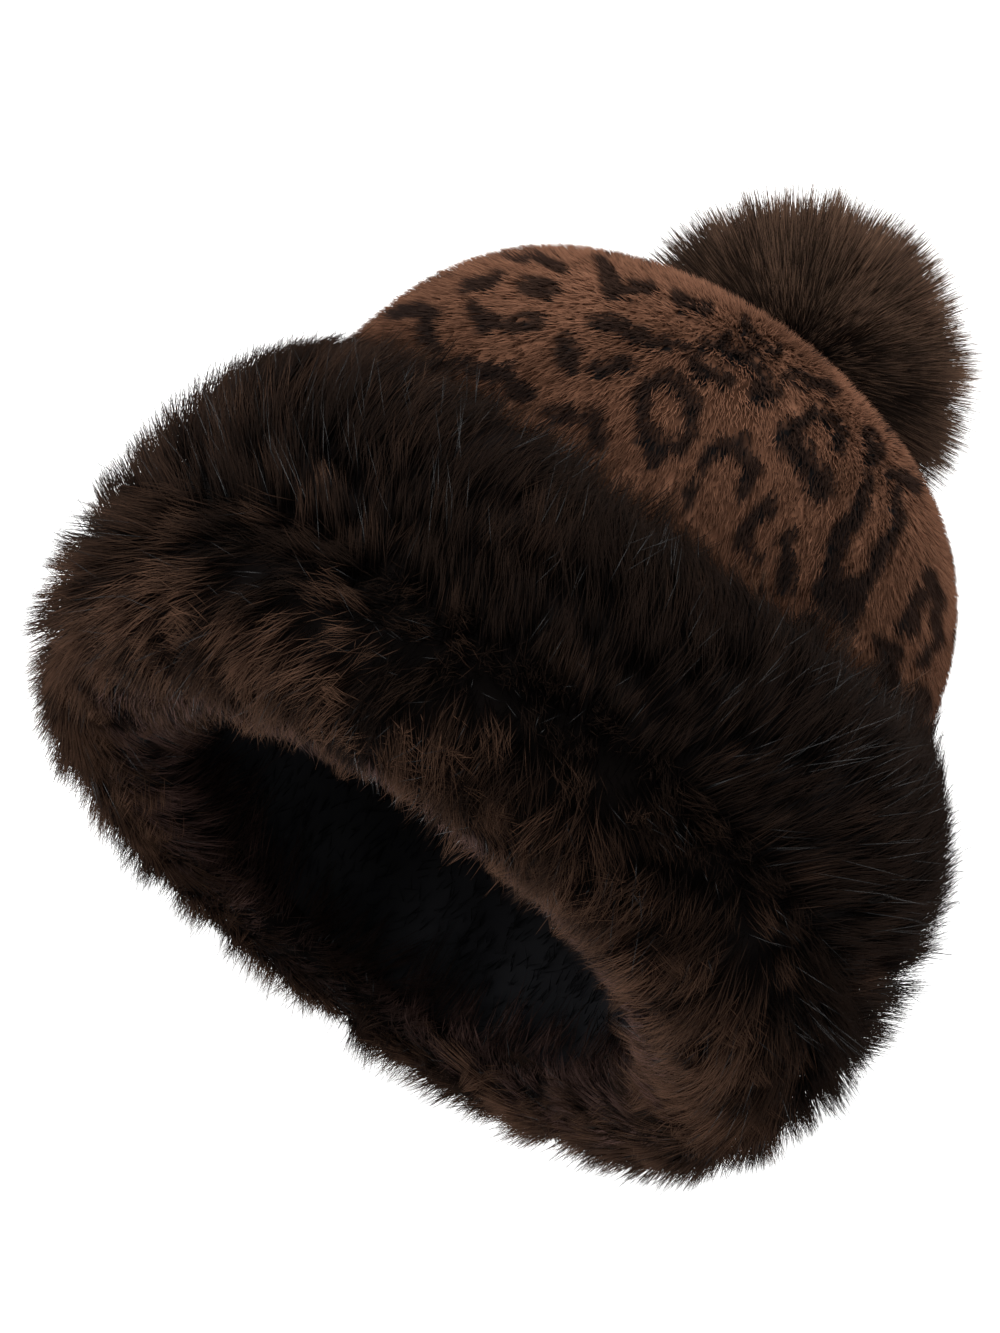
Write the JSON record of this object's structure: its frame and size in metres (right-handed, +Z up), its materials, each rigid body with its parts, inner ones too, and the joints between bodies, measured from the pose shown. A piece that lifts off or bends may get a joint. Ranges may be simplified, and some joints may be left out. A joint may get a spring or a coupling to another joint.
{
  "type": "cossack hat",
  "caption": "Winter hat with a domed plush crown in a leopard print, a deep folded cuff of long fur, a dark plush lining and a fur pompom, lying on its back.",
  "frame": {"origin": "on the floor, under the middle of the bounding box of the hat as it lies on its back", "axes": "+Z up from the floor, +Y along the hat's axis from the head opening to the pompom, +X across the hat"},
  "size_m": [0.2822, 0.2992, 0.2591],
  "materials": {
    "leopard_plush": "short plush pile, tan with black leopard spots",
    "lining_plush": "charcoal plush",
    "cuff_fur": "long faux fur, dark brown roots and tan tips",
    "pompom_fur": "long faux fur, dark roots and grey brown tips"
  },
  "bodies": {
    "root": {"crown_shell": "leopard_plush", "lining": "lining_plush", "fur_cuff": "cuff_fur", "pompom": "pompom_fur"}
  },
  "joints": []
}
